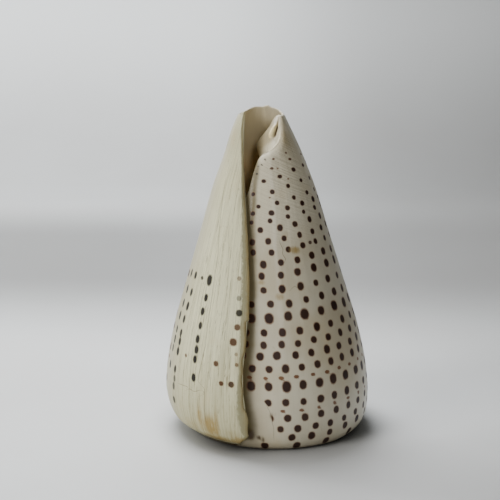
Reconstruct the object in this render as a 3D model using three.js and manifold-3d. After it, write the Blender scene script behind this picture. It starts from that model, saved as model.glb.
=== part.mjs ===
// A spotted cone shell standing on its flat spire, with its narrow open end up.
// Millimetres, +Z up. The outer lip's edge faces -Y, and the last whorl runs from it
// round the left side, the back, the right side and on in under the lip.

import * as THREE from 'three';
import { mergeVertices } from 'three/addons/utils/BufferGeometryUtils.js';
import Module from 'manifold-3d';

const TURN = 2 * Math.PI;
const DEGREE = Math.PI / 180;

// Side of the shell at the outer lip, from the shoulder up: height and radius.
const SIDE = [
  [0, 35], [1, 36.4], [3.5, 37.9], [8, 38.7], [14, 38.9], [22, 38.3], [36, 35.5],
  [54, 30], [72, 24.3], [88, 19.3], [100, 14.6], [108, 11.4], [116, 7.6],
];
const HEIGHT = 116;
const SHOULDER_RADIUS = 35;

// The lip's edge stands at this plan angle, and draws back near the open end.
const LIP_ANGLE = 256 * DEGREE;
const LIP_DRAW_BACK = 37 * DEGREE;
const LIP_DRAW_FROM = 80;

// How fast the coil draws in towards its start: an even rate for each turn, one closer stretch where the
// last whorl passes in under the lip, and a rate that grows with the square of the turns beyond it.
const COIL_RATE = 0.113;
const CLOSER_BY = 0.05;
const CLOSER_TURNS = [0.7, 1.05];
const EARLY_RATE = 0.035;

// The axis leans to the left over the flat spire.
const LEAN = Math.tan(1.45 * DEGREE);

// Degrees back from the lip, and the height of the wall's upper rim there.
const RIM = [
  [0, 115], [20, 114.4], [45, 113.9], [100, 115.5], [170, 115.6], [190, 116], [215, 115.2], [235, 114],
  [256, 112.4], [275, 111.8], [293, 111.2], [303, 109], [310, 106], [323, 103.5], [347, 100.8],
  [356, 97], [362, 90], [375, 85], [540, 76], [710, 66],
];

// Degrees back from the lip, and how far the shoulder is off the floor there.
const SHOULDER_LIFT = [[0, 2.2], [45, 2.7], [90, 3.6], [150, 1.8], [215, 1], [265, 1.7], [300, 0.2], [325, 0]];
const LIFT_FADE_HEIGHT = 26;
const LIFT_FADE_POWER = 1.5;

// Wall thickness of the last whorl, of the walls inside it, of the wall at the rim and at the lip's edge.
const OUTER_WALL = 2.6;
const INNER_WALL = 1.4;
const RIM_WALL = 1.3;
const LIP_WALL = 1.6;

// Keeps the points of the inner face apart where they lie on the whorl's floor.
const FLOOR_RISE = 0.01;

// Each whorl starts this deep in the wall of the one before it.
const SUTURE_WELD = 0.6;

// Degrees back from the lip where each stretch of wall starts and ends, and the step between its sections.
const LAST_WHORL = [0, 352];
const WHORL_BEFORE = [344, 704];
const SECTION_STEP = 8;
const LIP_TAPER = 14 * DEGREE;
const DRAW_BACK_FADE = 80 * DEGREE;
const THIN_FROM = 60;
const THIN_TO = 110;

// The ramp between two whorls of the spire: share of its width, and depth. Its outer part is flat.
const RAMP = [[0, 0], [0.28, 0.5], [0.55, 0]];

// The pillar at the middle: height, centre and radius, leaning over to the right near the top.
const PILLAR = [
  [1, 0, 0, 15], [20, 0, -2, 13], [45, 0.5, -4.5, 11.5], [70, 1.5, -7, 9.8], [85, 3, -8, 8], [97, 4, -6.5, 6],
  [103, 4.8, -5, 5], [107, 5, -3.2, 3.8], [111, 5.6, -0.8, 2.4], [113.2, 6, 0.8, 1.4],
];
const PILLAR_SIDES = 20;

// The middle of the spire: a shallow dish, radius and height from the outside in.
const DISH = [[25, 0.2], [17, 0.7], [9, 1.5], [4, 2.1], [0, 2.3]];
const DISH_THICKNESS = 4;
const DISH_SIDES = 40;
const SEAM_GAP = 1e-4;

const CREAM = 0xe4dcc8;

// Moves the coil's axis so that the shell's own box is centred over the origin.
const MIDDLE = [1.4, 0.4];

const wasm = await Module();
wasm.setup();

/** Straight-line reading of a table whose rows start with the place x. */
function read(table, x) {
  const next = table.findIndex((row) => row[0] >= x);
  if (next === 0) return table[0][1];
  if (next < 0) return table[table.length - 1][1];
  const low = table[next - 1];
  const high = table[next];
  const share = (x - low[0]) / (high[0] - low[0]);
  return low[1] + share * (high[1] - low[1]);
}

/** Size of the coil this far back from the lip, against its size at the lip. */
function shrink(angle) {
  const turns = angle / TURN;
  const closer = CLOSER_BY * THREE.MathUtils.smoothstep(turns, ...CLOSER_TURNS);
  const early = Math.max(0, turns - CLOSER_TURNS[1]);
  return Math.exp(-(COIL_RATE * turns + closer + EARLY_RATE * early * early));
}

/** Place on the shell from an angle back from the lip, a radius and a height. */
function place(angle, radius, height) {
  const x = radius * Math.cos(LIP_ANGLE - angle);
  const y = radius * Math.sin(LIP_ANGLE - angle);
  return [x - LEAN * height, y, height];
}

/** How far the shoulder's lift raises a point of this height. */
function lift(angle, height) {
  const fade = THREE.MathUtils.clamp(1 - height / LIFT_FADE_HEIGHT, 0, 1);
  return read(SHOULDER_LIFT, angle / DEGREE) * fade ** LIFT_FADE_POWER;
}

/** A closed solid from rings of points, each ring joined to the next and the ends capped in strips. */
function loft(rings, cap) {
  const count = rings[0].length;
  const triangles = [];
  const at = (ring, i) => ring * count + (i % count);
  const quad = (a, b, c, d) => triangles.push(a, b, c, a, c, d);
  for (let ring = 0; ring < rings.length - 1; ring += 1) {
    for (let i = 0; i < count; i += 1) {
      quad(at(ring, i), at(ring, i + 1), at(ring + 1, i + 1), at(ring + 1, i));
    }
  }
  const last = rings.length - 1;
  for (const [a, b, c] of cap(count)) {
    triangles.push(at(0, c), at(0, b), at(0, a));
    triangles.push(at(last, a), at(last, b), at(last, c));
  }
  return solid(rings.flat().flat(), triangles);
}

/** A manifold solid with its faces pointing out. */
function solid(points, triangles) {
  const mesh = () => new wasm.Mesh({
    numProp: 3,
    vertProperties: new Float32Array(points),
    triVerts: new Uint32Array(triangles),
  });
  const made = new wasm.Manifold(mesh());
  if (made.volume() > 0) return made;
  for (let i = 0; i < triangles.length; i += 3) {
    [triangles[i], triangles[i + 1]] = [triangles[i + 1], triangles[i]];
  }
  return new wasm.Manifold(mesh());
}

/** Strip triangles across a ring whose second half runs back beside its first half. */
function wallCap(count) {
  const triangles = [];
  for (let i = 0; i < count / 2 - 1; i += 1) {
    triangles.push([i, i + 1, count - 2 - i], [i, count - 2 - i, count - 1 - i]);
  }
  return triangles;
}

/** Fan triangles across a round ring. */
function fanCap(count) {
  return Array.from({ length: count - 2 }, (_, i) => [0, i + 1, i + 2]);
}

/** One whorl's section: the outer face from the suture to the rim, then the inner face back. */
function wallSection(angle, wall) {
  const scale = shrink(angle);
  const suture = SHOULDER_RADIUS * shrink(angle + TURN) - SUTURE_WELD;
  const shoulder = SHOULDER_RADIUS * scale;
  const rim = read(RIM, angle / DEGREE);
  const near = THREE.MathUtils.smoothstep(angle, 0, LIP_TAPER);
  const thick = LIP_WALL + (wall - LIP_WALL) * near;
  const raised = read(SHOULDER_LIFT, angle / DEGREE);
  const outer = [];
  const inner = [];
  for (const [share, depth] of RAMP) {
    const radius = suture + (shoulder - suture) * share;
    outer.push(place(angle, radius, depth + raised * share));
    const inside = suture + (shoulder - thick - suture) * share;
    inner.push(place(angle, inside, thick + raised * share));
  }
  for (const [level] of SIDE) {
    const height = level * rim / HEIGHT;
    const draw = Math.max(0, (height - LIP_DRAW_FROM) / (HEIGHT - LIP_DRAW_FROM)) ** 2;
    const back = Math.max(0, 1 - angle / DRAW_BACK_FADE);
    const turned = angle + LIP_DRAW_BACK * draw * back;
    const radius = read(SIDE, height) * shrink(turned);
    const thin = THREE.MathUtils.smoothstep(height, THIN_FROM, THIN_TO);
    const here = thick + (Math.min(RIM_WALL, thick) - thick) * thin;
    const rise = lift(angle, height);
    outer.push(place(turned, radius, height + rise));
    inner.push(place(turned, radius - here, Math.max(height, thick + FLOOR_RISE * level) + rise));
  }
  return outer.concat(inner.reverse());
}

/** The shell's wall between two angles back from the lip. */
function whorl([from, to], wall) {
  const rings = [];
  for (let angle = from; angle <= to; angle += SECTION_STEP) {
    rings.push(wallSection(angle * DEGREE, wall));
  }
  return loft(rings, wallCap);
}

/** The solid pillar that the whorls turn round. */
function pillar() {
  const rings = PILLAR.map(([height, x, y, radius]) => {
    const ring = [];
    for (let i = 0; i < PILLAR_SIDES; i += 1) {
      const angle = (i / PILLAR_SIDES) * TURN;
      ring.push([x + radius * Math.cos(angle) - LEAN * height, y + radius * Math.sin(angle), height]);
    }
    return ring;
  });
  return loft(rings, fanCap);
}

/** The middle of the spire, a shallow dish seen from below. */
function dish() {
  const outline = DISH.map(([radius, height]) => new THREE.Vector2(radius, height)).reverse();
  outline.push(new THREE.Vector2(DISH[0][0], DISH_THICKNESS), new THREE.Vector2(0, DISH_THICKNESS));
  const turned = new THREE.LatheGeometry(outline, DISH_SIDES).rotateX(TURN / 4);
  turned.deleteAttribute('normal');
  turned.deleteAttribute('uv');
  const merged = mergeVertices(turned, SEAM_GAP);
  const index = Array.from(merged.index.array);
  const triangles = [];
  for (let i = 0; i < index.length; i += 3) {
    const [a, b, c] = index.slice(i, i + 3);
    if (a !== b && b !== c && c !== a) triangles.push(a, b, c);
  }
  return solid(Array.from(merged.attributes.position.array), triangles);
}

const whole = whorl(LAST_WHORL, OUTER_WALL)
  .add(whorl(WHORL_BEFORE, INNER_WALL))
  .add(pillar())
  .add(dish());

/** A three.js geometry from a manifold solid. */
function geometryOf(manifold) {
  const mesh = manifold.getMesh();
  const geometry = new THREE.BufferGeometry();
  geometry.setAttribute('position', new THREE.BufferAttribute(mesh.vertProperties, 3));
  geometry.setIndex(new THREE.BufferAttribute(mesh.triVerts, 1));
  geometry.computeVertexNormals();
  return geometry;
}

const glaze = new THREE.MeshStandardMaterial({ color: CREAM, roughness: 0.35, metalness: 0 });

const shell = new THREE.Mesh(geometryOf(whole), glaze);
shell.name = 'shell';
shell.position.set(...MIDDLE, 0);

const object = new THREE.Group();
object.add(shell);
export default object;
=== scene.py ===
"""A spotted cone shell standing on its flat spire on a pale table."""

import logging
from dataclasses import dataclass, field
from enum import Enum, IntEnum

import bpy
import numpy as np
from mathutils import Euler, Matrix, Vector

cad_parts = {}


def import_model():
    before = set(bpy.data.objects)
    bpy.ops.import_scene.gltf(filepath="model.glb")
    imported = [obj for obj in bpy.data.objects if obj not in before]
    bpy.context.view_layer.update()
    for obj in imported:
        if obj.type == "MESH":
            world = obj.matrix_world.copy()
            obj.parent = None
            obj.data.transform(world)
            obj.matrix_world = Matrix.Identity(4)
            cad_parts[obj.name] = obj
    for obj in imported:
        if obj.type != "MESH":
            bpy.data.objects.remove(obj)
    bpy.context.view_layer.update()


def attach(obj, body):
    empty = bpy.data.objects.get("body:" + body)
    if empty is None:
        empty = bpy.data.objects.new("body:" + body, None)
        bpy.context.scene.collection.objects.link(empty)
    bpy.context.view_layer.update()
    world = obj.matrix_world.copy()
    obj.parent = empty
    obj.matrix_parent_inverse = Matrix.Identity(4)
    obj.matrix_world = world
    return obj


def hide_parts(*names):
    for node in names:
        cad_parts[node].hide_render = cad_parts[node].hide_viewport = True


log = logging.getLogger("cone_shell")

Array = np.ndarray
Table = tuple[tuple[float, ...], ...]
Span = tuple[float, float]
Place = tuple[float, float, float]
Colour = tuple[float, float, float]
Band = tuple[float, float, float, float]
MM = 0.001
FULL_TURN = 360.0

# A random line is a sum of waves: how much finer and weaker each next one is, and the spread of their rates.
WAVE_FINER = 1.9
WAVE_WEAKER = 0.62
WAVE_SPREAD = (0.85, 1.15)
WAVE_SUM = 2.2


class Seed(IntEnum):
    """Which random line or source each use of chance draws from."""

    WAVES = 3
    DRIFT = 5
    RIM = 8
    SPOTS = 11
    LINES = 21
    EDGE = 31
    FINE_EDGE = 32
    CHAMFER = 35
    SHADOW = 41


def ease(x: Array, low: float, high: float) -> Array:
    """Smooth step from 0 at low to 1 at high.

    Args:
        x: places to read.
        low: where the step starts.
        high: where the step ends; it may be below low for a falling step.

    Returns:
        The step's value at each place.
    """
    share = np.clip((np.asarray(x, float) - low) / (high - low), 0.0, 1.0)
    return share * share * (3.0 - 2.0 * share)


def band(x: Array, start: float, full: float, weaker: float, end: float) -> Array:
    """Smooth band that rises from start to full and falls from weaker to end."""
    return ease(x, start, full) * ease(x, end, weaker)


def glide(table: Table, x: Array) -> Array:
    """Reads a table of places and values as one smooth curve that never overshoots.

    Args:
        table: rows of a place and its value, in rising order of place.
        x: places to read.

    Returns:
        The curve's value at each place.
    """
    places, values = np.array(table, float).T
    gap = np.diff(places)
    rise = np.diff(values) / gap
    slope = np.empty_like(values)
    both = rise[1:] * rise[:-1]
    total = rise[1:] + rise[:-1]
    slope[1:-1] = np.where(both > 0, 2.0 * both / np.where(np.abs(total) > 1e-9, total, 1.0), 0.0)
    slope[0], slope[-1] = rise[0], rise[-1]
    x = np.clip(x, places[0], places[-1])
    cell = np.clip(np.searchsorted(places, x, side="right") - 1, 0, len(gap) - 1)
    width = gap[cell]
    t = (x - places[cell]) / width
    near = (2 * t**3 - 3 * t**2 + 1) * values[cell] + (t**3 - 2 * t**2 + t) * width * slope[cell]
    far = (3 * t**2 - 2 * t**3) * values[cell + 1] + (t**3 - t**2) * width * slope[cell + 1]
    return near + far


def wander(x: Array, seed: Seed, waves: int) -> Array:
    """A smooth random line, between about -1 and 1.

    Args:
        x: places to read.
        seed: which line.
        waves: how many waves are added, the first with about one turn per unit of x.

    Returns:
        The line's value at each place.
    """
    draw = np.random.default_rng(seed)
    total = np.zeros_like(np.asarray(x, float))
    for octave in range(waves):
        rate = WAVE_FINER**octave * draw.uniform(*WAVE_SPREAD)
        total = total + np.sin(2 * np.pi * (rate * x + draw.uniform())) * WAVE_WEAKER**octave
    return total / WAVE_SUM


@dataclass(frozen=True)
class Coil:
    """The law that every part of the shell grows by. Millimetres, and degrees back from the lip."""

    side: Table = (
        (0, 35), (1, 36.4), (3.5, 37.9), (8, 38.7), (14, 38.9), (22, 38.3), (36, 35.5),
        (54, 30), (72, 24.3), (88, 19.3), (100, 14.6), (108, 11.4), (116, 7.6),
    )
    rim: Table = (
        (0, 115.4), (20, 115.1), (45, 114), (95, 114.3), (110, 114.6), (125, 115.2), (144, 116.1),
        (166, 116), (185, 116.5), (196, 116), (215, 115.5), (235, 114.6), (254, 114), (270, 114),
        (287, 113.8), (291, 112.4), (296, 110.8), (300, 109.2), (305, 107.6), (311, 106), (320, 104.3),
        (328, 103.1), (339, 102), (350, 101), (357, 99.3), (361, 97), (364, 94), (367, 89.5), (375, 85),
        (540, 76), (710, 66),
    )
    raised: Table = ((0, 2.4), (45, 3.1), (90, 3.7), (150, 1.8), (215, 1), (265, 1.7), (300, 0.2), (325, 0))
    raised_up_to: float = 26.0
    raised_power: float = 1.5
    rate: float = 0.113
    closer_by: float = 0.05
    closer_turns: Span = (0.7, 1.05)
    early_rate: float = 0.035
    shoulder: float = 35.0
    height: float = 116.0
    lip_angle: float = 256.0
    lean: float = 1.45
    top_bend: float = 0.65
    bend_levels: Span = (98.0, 112.0)
    draw_back: float = 37.0
    draw_from: float = 80.0
    draw_fade: float = 80.0
    middle: Span = (1.4, 0.4)
    ridge_line: Table = (
        (97, -4.2), (99.3, -3.5), (101.8, -2.1), (104, 0), (105.8, 2.1), (108, 3.4), (110.5, 3.9), (113, 3.9),
        (115, 4.6),
    )

    def shrink(self, angle: Array) -> Array:
        """The coil's size, against its size at the lip.

        Args:
            angle: degrees back from the lip.

        Returns:
            The size at each angle.
        """
        turns = np.asarray(angle, float) / FULL_TURN
        early = np.maximum(0.0, turns - self.closer_turns[1])
        closer = self.closer_by * ease(turns, *self.closer_turns)
        return np.exp(-(self.rate * turns + closer + self.early_rate * early**2))

    def lift(self, angle: Array, height: Array) -> Array:
        """How far the shoulder's lift off the table raises points of this height."""
        fade = np.clip(1.0 - height / self.raised_up_to, 0.0, 1.0) ** self.raised_power
        return glide(self.raised, angle) * fade

    def turned(self, angle: Array, height: Array) -> Array:
        """The angle once the lip has drawn back near the open end."""
        draw = np.clip((height - self.draw_from) / (self.height - self.draw_from), 0.0, 1.0) ** 2
        return angle + self.draw_back * draw * np.clip(1.0 - angle / self.draw_fade, 0.0, 1.0)

    def axis(self, height: Array) -> Array:
        """Where the coil's axis is to the right of the middle at this height."""
        straight = self.middle[0] - np.tan(np.radians(self.lean)) * height
        return straight - self.top_bend * ease(height, *self.bend_levels)

    def behind_ridge(self, points: Array) -> Array:
        """How many millimetres points are to the left of the slanting line behind the pale ridge."""
        return glide(self.ridge_line, points[..., 2]) - points[..., 0]

    def place(self, angle: Array, radius: Array, height: Array) -> Array:
        """Points in the shell's frame from an angle, a radius and a height.

        Args:
            angle: degrees back from the lip.
            radius: distance from the coil's axis.
            height: height above the table.

        Returns:
            The points, with x, y and z along the last axis.
        """
        plan = np.radians(self.lip_angle - angle)
        x = radius * np.cos(plan) + self.axis(height)
        y = radius * np.sin(plan) + self.middle[1]
        return np.stack(np.broadcast_arrays(x, y, height), -1)


class Tone(Enum):
    """How a spot is coloured, as the number that its tone attribute holds."""

    SLATE = -1.0
    DARK = 0.0
    RUSSET = 0.45
    ORANGE = 1.0


@dataclass(frozen=True)
class SpotRow:
    """One ring of spots round the last whorl. Millimetres, and degrees back from the lip."""

    height: float
    first: float
    pitch: float
    width: float = 2.9
    tall: float = 1.12
    tone: Tone = Tone.DARK
    strength: float = 1.0


@dataclass(frozen=True)
class Spot:
    """One spot's middle, half sizes and colour on the unrolled wall."""

    angle: float
    height: float
    half_width: float
    half_height: float
    tone: float
    strength: float


@dataclass(frozen=True)
class SpotPattern:
    """The spots of the last whorl: rings of them on the body, and three lines of them beside the lip."""

    rows: tuple[SpotRow, ...] = (
        SpotRow(2.9, 350, 20.0, 2.6),
        SpotRow(6.3, 346, 12.4, 2.5),
        SpotRow(9.6, 339, 10.8, 2.5),
        SpotRow(13.6, 336, 10.6, 2.5),
        SpotRow(16.2, 339, 10.9, 1.8, 0.6, Tone.ORANGE, 0.8),
        SpotRow(19.0, 347, 10.5, 2.6),
        SpotRow(24.8, 357.5, 10.6, 2.9, 1.25),
        SpotRow(27.9, 358, 10.1, 1.8, 0.72, Tone.ORANGE, 0.85),
        SpotRow(31.0, 356, 10.3, 2.5),
        SpotRow(35.2, 352, 11.4, 2.55),
        SpotRow(39.2, 350, 11.7, 2.5),
        SpotRow(43.2, 349, 12.5, 2.5),
        SpotRow(48.4, 358, 13.4, 3.1, 1.12),
        SpotRow(53.0, 359, 14.3, 2.4),
        SpotRow(57.9, 350, 15.0, 2.35),
        SpotRow(62.8, 350, 15.5, 2.45),
        SpotRow(67.0, 350, 15.4, 2.25),
        SpotRow(71.1, 358, 15.4, 2.0, 1.1),
        SpotRow(74.8, 360, 15.8, 2.1, 1.1),
        SpotRow(78.9, 351, 18.6, 2.1, 1.1),
        SpotRow(81.9, 361, 19.8, 1.7, 1.0),
        SpotRow(85.0, 360, 19.6, 1.9, 1.0),
        SpotRow(87.7, 354, 21.2, 1.7, 0.95),
        SpotRow(92.0, 360, 21.5, 1.65, 0.9),
        SpotRow(96.5, 348, 23.0, 1.75, 0.75),
        SpotRow(100.2, 336, 33.0, 1.6, 0.6, Tone.RUSSET, 0.85),
    )
    extra: tuple[tuple[float, float, float, Tone], ...] = (
        (355.5, 97.3, 0.8, Tone.SLATE), (350.2, 97.8, 0.9, Tone.SLATE), (345, 99.6, 0.9, Tone.SLATE),
        (332, 99.8, 1.1, Tone.RUSSET), (327.5, 96.6, 0.9, Tone.ORANGE), (314.2, 92.9, 0.9, Tone.ORANGE),
        (357.2, 94.8, 1.0, Tone.SLATE), (341, 87.0, 0.8, Tone.RUSSET), (302, 70.9, 1.6, Tone.DARK),
        (308, 101.6, 1.0, Tone.RUSSET), (40, 58.2, 1.8, Tone.SLATE),
    )
    lip_lines: tuple[float, ...] = (31.5, 50.0, 59.3)
    lip_heights: tuple[float, ...] = (58.2, 52.2, 47.4, 42.9, 38.0, 34.6, 31.0, 24.8)
    low_heights: tuple[float, ...] = (21.2, 18.0, 12.6)
    edge_marks: tuple[tuple[float, float, float, Tone, float], ...] = (
        (6, 60.3, 1.6, Tone.RUSSET, 0.45), (5, 53.8, 1.8, Tone.SLATE, 0.4), (4.2, 49, 2.3, Tone.SLATE, 0.85),
        (4.6, 44.3, 2.2, Tone.RUSSET, 0.75), (6.4, 39.3, 2.7, Tone.RUSSET, 0.85),
        (4.2, 35.4, 1.3, Tone.RUSSET, 0.4), (3.6, 31.9, 1.4, Tone.RUSSET, 0.6),
        (6.2, 25.1, 2.3, Tone.DARK, 0.85), (12, 25, 1.8, Tone.RUSSET, 0.85),
        (16, 31.4, 2.1, Tone.RUSSET, 0.8), (40, 31.3, 1.4, Tone.RUSSET, 0.8),
    )
    bare_edge: Table = ((3, 344), (5.3, 344), (8.4, 344), (12.1, 345), (14.9, 346), (18.1, 349), (19, 351))
    bare_levels: Span = (3.0, 18.6)
    bare_overlap: float = 0.6
    oldest: float = 374.0
    lip_clear: float = 66.0
    high_clear: float = 84.0
    high_clear_rise: float = 0.5
    high_rows: float = 60.0
    front: Span = (262.0, 275.0)
    front_order: float = 0.65
    scatter: float = 0.45
    scatter_up: float = 0.7
    width_spread: Span = (0.9, 1.08)
    tall_spread: Span = (0.92, 1.1)
    tone_spread: Span = (0.0, 0.22)
    strength_spread: Span = (0.93, 1.0)
    pitch_spread: float = 0.025
    sink_low: float = 1.2
    sink_high: float = 3.5
    sink_power: float = 2.2
    sink_angles: Span = (262.0, 326.0)
    sink_later: Span = (20.0, 36.0)
    newest_angles: Span = (260.0, 40.0)
    extra_strength: float = 0.75
    largest_above: float = 58.0
    largest: float = 1.35
    faint_below: float = 22.0
    faint: float = 0.7
    lip_tall: float = 1.45
    lip_scatter: Span = (0.3, 0.15)
    lip_size_spread: Span = (0.92, 1.08)
    lip_tone_spread: Span = (0.7, 1.0)
    lip_strength_spread: Span = (0.88, 1.0)
    far: float = 4.0
    squareness: float = 2.3
    flatten: float = 1.04
    batch: int = 4000

    def into_bare(self, coil: Coil, angle: Array, height: Array) -> Array:
        """How far each point is inside the bare patch under the lip.

        Args:
            coil: the shell's growth law.
            angle: each point's angle back from the lip.
            height: each point's height.

        Returns:
            The distance in millimetres, negative outside the patch.
        """
        radius = glide(coil.side, height) * coil.shrink(angle)
        along = np.radians(angle - glide(self.bare_edge, height)) * radius
        low, high = self.bare_levels
        return np.minimum(along, np.minimum(height - low, high - height))

    def drop(self, angle: Array, height: float) -> Array:
        """How far a ring of spots sinks, on the newest part of the whorl and in under the lip.

        Args:
            angle: degrees back from the lip.
            height: the ring's height.

        Returns:
            The distance in millimetres.
        """
        high = min(height / 40.0, 1.0)
        start, end = (at + later * high for at, later in zip(self.sink_angles, self.sink_later))
        most = self.sink_low + self.sink_high * (height / 100.0) ** self.sink_power
        return most * ease(angle, start, end) + self.sink_low * ease(angle, *self.newest_angles)

    def spots(self, coil: Coil) -> list[Spot]:
        """Every spot of the last whorl.

        Args:
            coil: the shell's growth law.

        Returns:
            The spots, from the lowest ring up.
        """
        draw = np.random.default_rng(Seed.SPOTS)
        found: list[Spot] = []
        for row in self.rows:
            newest = self.lip_clear
            if row.height >= self.high_rows:
                newest = self.high_clear + self.high_clear_rise * (row.height - self.high_rows)
            place = row.first + row.pitch * np.ceil((self.oldest - row.first - row.pitch) / row.pitch)
            while place > newest:
                loose = 1.0 - self.front_order * ease(place, *self.front)
                radius = float(glide(coil.side, row.height) * coil.shrink(place))
                shift = draw.normal(0.0, self.scatter * loose, 2)
                angle = place + np.degrees(shift[0] / radius)
                height = row.height - float(self.drop(place, row.height)) + self.scatter_up * shift[1]
                size = row.width / 2.0 * draw.uniform(*self.width_spread)
                tall = row.tall * draw.uniform(*self.tall_spread)
                tone = row.tone.value + draw.uniform(*self.tone_spread)
                strength = row.strength * draw.uniform(*self.strength_spread)
                if self.into_bare(coil, np.array(angle), np.array(height)) < self.bare_overlap:
                    found.append(Spot(angle, height, size, size * tall, tone, strength))
                place -= row.pitch * (1.0 + draw.normal(0.0, self.pitch_spread))
        for angle, height, width, tone in self.extra:
            found.append(Spot(angle, height, width / 2.0, width / 2.6, tone.value, self.extra_strength))
        found.extend(self.beside_lip(draw))
        return found

    def beside_lip(self, draw: np.random.Generator) -> list[Spot]:
        """The narrow slate spots in lines beside the lip, and the faint ones along its edge.

        Args:
            draw: the random source.

        Returns:
            The spots.
        """
        found: list[Spot] = []
        for line, angle in enumerate(self.lip_lines):
            heights = self.lip_heights + (self.low_heights if line == 1 else ())
            for height in heights:
                large = height > self.largest_above and line == 0
                size = (self.largest if large else 1.0) * draw.uniform(*self.lip_size_spread)
                at = angle + draw.normal(0, self.lip_scatter[0])
                level = height + draw.normal(0, self.lip_scatter[1])
                tone = Tone.SLATE.value * draw.uniform(*self.lip_tone_spread)
                faint = self.faint if height < self.faint_below else 1.0
                strength = faint * draw.uniform(*self.lip_strength_spread)
                found.append(Spot(at, level, size, size * self.lip_tall, tone, strength))
        for angle, height, width, tone, strength in self.edge_marks:
            found.append(Spot(angle, height, width / 2.0, width / 2.0, tone.value, strength))
        return found

    def paint(self, coil: Coil, angle: Array, height: Array) -> dict[str, Array]:
        """The pattern's values over the wall.

        Args:
            coil: the shell's growth law.
            angle: each point's angle back from the lip.
            height: each point's height.

        Returns:
            How far each point is from its nearest spot in that spot's own half sizes, and that spot's
            tone and strength.
        """
        spots = self.spots(coil)
        middle = np.array([(s.angle, s.height, s.half_width, s.half_height) for s in spots])
        looks = np.array([(s.tone, s.strength) for s in spots])
        flat_angle, flat_height = angle.ravel(), height.ravel()
        away = np.full(flat_angle.shape, self.far)
        tone = np.zeros_like(away)
        strength = np.ones_like(away)
        radius = glide(coil.side, flat_height) * coil.shrink(flat_angle)
        for start in range(0, len(flat_angle), self.batch):
            part = slice(start, start + self.batch)
            across = np.radians(flat_angle[part, None] - middle[None, :, 0]) * radius[part, None]
            up = (flat_height[part, None] - middle[None, :, 1]) * self.flatten
            wide = np.abs(across / middle[None, :, 2]) ** self.squareness
            far = (wide + np.abs(up / middle[None, :, 3]) ** self.squareness) ** (1 / self.squareness)
            nearest = np.argmin(far, axis=1)
            away[part] = np.minimum(far[np.arange(len(nearest)), nearest], self.far)
            tone[part], strength[part] = looks[nearest].T
        away = np.maximum(away, 1.0 + self.into_bare(coil, flat_angle, flat_height))
        shape = angle.shape
        return {"spot": away.reshape(shape), "tone": tone.reshape(shape), "strength": strength.reshape(shape)}


@dataclass(frozen=True)
class Stain:
    """A soft patch of colour on the wall. Degrees back from the lip, and millimetres."""

    angle: float
    height: float
    half_width: float
    half_height: float
    amount: float


@dataclass(frozen=True)
class Hairline:
    """A fine dark line on the wall, through pairs of angle and height; it runs up the wall or across it."""

    path: Table
    upright: bool
    amount: float = 1.0


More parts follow.
